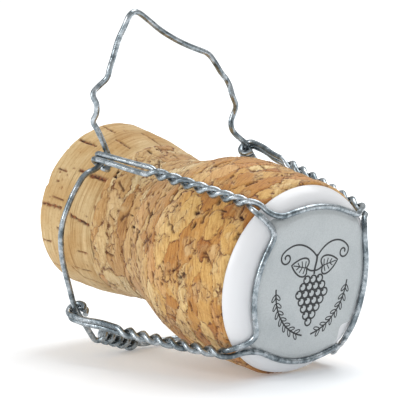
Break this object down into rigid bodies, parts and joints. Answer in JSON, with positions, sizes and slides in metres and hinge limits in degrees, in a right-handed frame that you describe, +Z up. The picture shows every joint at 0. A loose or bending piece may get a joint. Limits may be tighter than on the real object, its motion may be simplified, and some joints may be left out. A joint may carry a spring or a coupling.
{
  "type": "sparkling wine cork with wire hood",
  "caption": "Drawn sparkling wine cork lying on its side, with a pressed metal cap, its twisted wire hood and the opened tie loop standing up.",
  "frame": {"origin": "middle of the whole object's box at floor height, as it lies on its side", "axes": "+Z up from the floor; +X along the floor from the cork's foot towards its cap; the near side of the picture is -Y"},
  "size_m": [0.0522, 0.0416, 0.0552],
  "materials": {
    "agglomerated_cork": "matt pressed cork granules",
    "natural_cork": "matt sanded natural cork",
    "cap_tinplate": "satin lacquered tinplate",
    "galvanised_wire": "dull galvanised wire, scuffed"
  },
  "bodies": {
    "hood": {"frame_wire_near": "galvanised_wire", "frame_wire_bottom": "galvanised_wire", "frame_wire_far": "galvanised_wire", "frame_wire_top": "galvanised_wire", "belt_wire_near": "galvanised_wire", "belt_wire_far": "galvanised_wire"},
    "cap": {"cap_plaque": "cap_tinplate"},
    "cork": {"cork_body": "agglomerated_cork", "cork_disc_inner": "natural_cork", "cork_disc_outer": "natural_cork"},
    "tie_loop": {"tie_loop": "galvanised_wire"}
  },
  "joints": [
    {"name": "cap_slide", "type": "slide", "parent": "hood", "child": "cap", "axis": [-0.9879, 0, 0.1554], "range_m": [0, 0.042]},
    {"name": "cork_slide", "type": "slide", "parent": "cap", "child": "cork", "axis": [-0.9879, 0, 0.1554], "range_m": [0, 0.042]},
    {"name": "tie_loop_hinge", "type": "hinge", "parent": "hood", "child": "tie_loop", "pos_m": [-0.00741, 0.00129, 0.03233], "axis": [0.0962, 0.9953, -0.0097], "range_deg": [-60, 35]}
  ]
}
